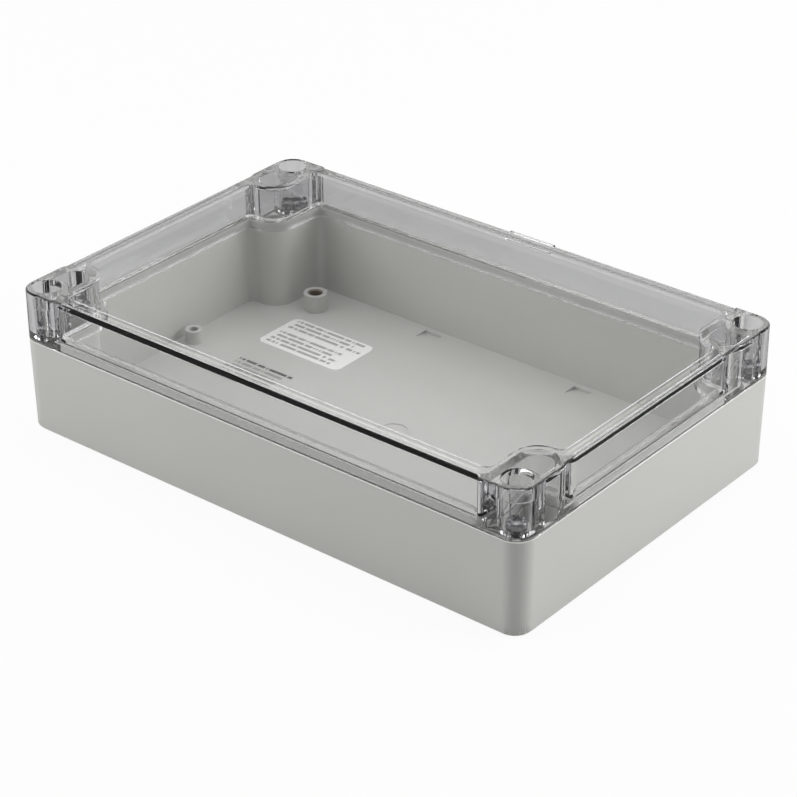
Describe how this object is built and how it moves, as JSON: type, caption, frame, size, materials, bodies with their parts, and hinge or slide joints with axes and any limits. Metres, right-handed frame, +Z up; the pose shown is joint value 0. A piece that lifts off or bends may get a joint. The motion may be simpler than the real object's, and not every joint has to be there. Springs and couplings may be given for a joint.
{
  "type": "clear-lidded polycarbonate enclosure",
  "caption": "Shallow rectangular plastic enclosure with a grey base, a clear screw-down lid with corner screw columns, a seal, board bosses and wall-mounting wells in the corners.",
  "frame": {"origin": "middle of the underside", "axes": "+X along the long side, +Y towards the back long side with the lid's grip tab, +Z up to the lid"},
  "size_m": [0.222, 0.146, 0.055],
  "materials": {
    "grey_polycarbonate": "satin moulded",
    "clear_polycarbonate": "clear polished",
    "silicone_seal": "matt",
    "label_film": "satin",
    "screw_steel": "plain stainless",
    "nylon": "natural",
    "brass": "turned"
  },
  "bodies": {
    "base": {"base": "grey_polycarbonate", "label": "label_film", "threaded_insert_front_left": "brass", "threaded_insert_front_right": "brass", "threaded_insert_back_left": "brass", "threaded_insert_back_right": "brass", "board_insert_front_left": "brass", "board_insert_front_right": "brass", "board_insert_back_left": "brass", "board_insert_back_right": "brass"},
    "lid": {"lid": "clear_polycarbonate", "lid_gasket": "silicone_seal"},
    "washer_front_left": {"captive_washer_front_left": "nylon"},
    "screw_front_left": {"lid_screw_front_left": "screw_steel"},
    "washer_front_right": {"captive_washer_front_right": "nylon"},
    "screw_front_right": {"lid_screw_front_right": "screw_steel"},
    "washer_back_left": {"captive_washer_back_left": "nylon"},
    "screw_back_left": {"lid_screw_back_left": "screw_steel"},
    "washer_back_right": {"captive_washer_back_right": "nylon"},
    "screw_back_right": {"lid_screw_back_right": "screw_steel"}
  },
  "joints": [
    {"name": "lid_lift", "type": "slide", "parent": "base", "child": "lid", "axis": [0, 0, 1], "range_m": [0, 0.06]},
    {"name": "screw_rise_front_left", "type": "slide", "parent": "lid", "child": "washer_front_left", "axis": [0, 0, 1], "range_m": [0, 0.007]},
    {"name": "screw_turn_front_left", "type": "hinge", "parent": "washer_front_left", "child": "screw_front_left", "pos_m": [-0.1035, -0.0655, 0.0384], "axis": [0, 0, 1], "range_deg": [0, 3600]},
    {"name": "screw_rise_front_right", "type": "slide", "parent": "lid", "child": "washer_front_right", "axis": [0, 0, 1], "range_m": [0, 0.007]},
    {"name": "screw_turn_front_right", "type": "hinge", "parent": "washer_front_right", "child": "screw_front_right", "pos_m": [0.1035, -0.0655, 0.0384], "axis": [0, 0, 1], "range_deg": [0, 3600]},
    {"name": "screw_rise_back_left", "type": "slide", "parent": "lid", "child": "washer_back_left", "axis": [0, 0, 1], "range_m": [0, 0.007]},
    {"name": "screw_turn_back_left", "type": "hinge", "parent": "washer_back_left", "child": "screw_back_left", "pos_m": [-0.1035, 0.0655, 0.0384], "axis": [0, 0, 1], "range_deg": [0, 3600]},
    {"name": "screw_rise_back_right", "type": "slide", "parent": "lid", "child": "washer_back_right", "axis": [0, 0, 1], "range_m": [0, 0.007]},
    {"name": "screw_turn_back_right", "type": "hinge", "parent": "washer_back_right", "child": "screw_back_right", "pos_m": [0.1035, 0.0655, 0.0384], "axis": [0, 0, 1], "range_deg": [0, 3600]}
  ],
  "couplings": [
    {"joint": "screw_turn_front_left", "follows": "screw_rise_front_left", "rad_per_m": 8976},
    {"joint": "screw_turn_front_right", "follows": "screw_rise_front_right", "rad_per_m": 8976},
    {"joint": "screw_turn_back_left", "follows": "screw_rise_back_left", "rad_per_m": 8976},
    {"joint": "screw_turn_back_right", "follows": "screw_rise_back_right", "rad_per_m": 8976}
  ]
}
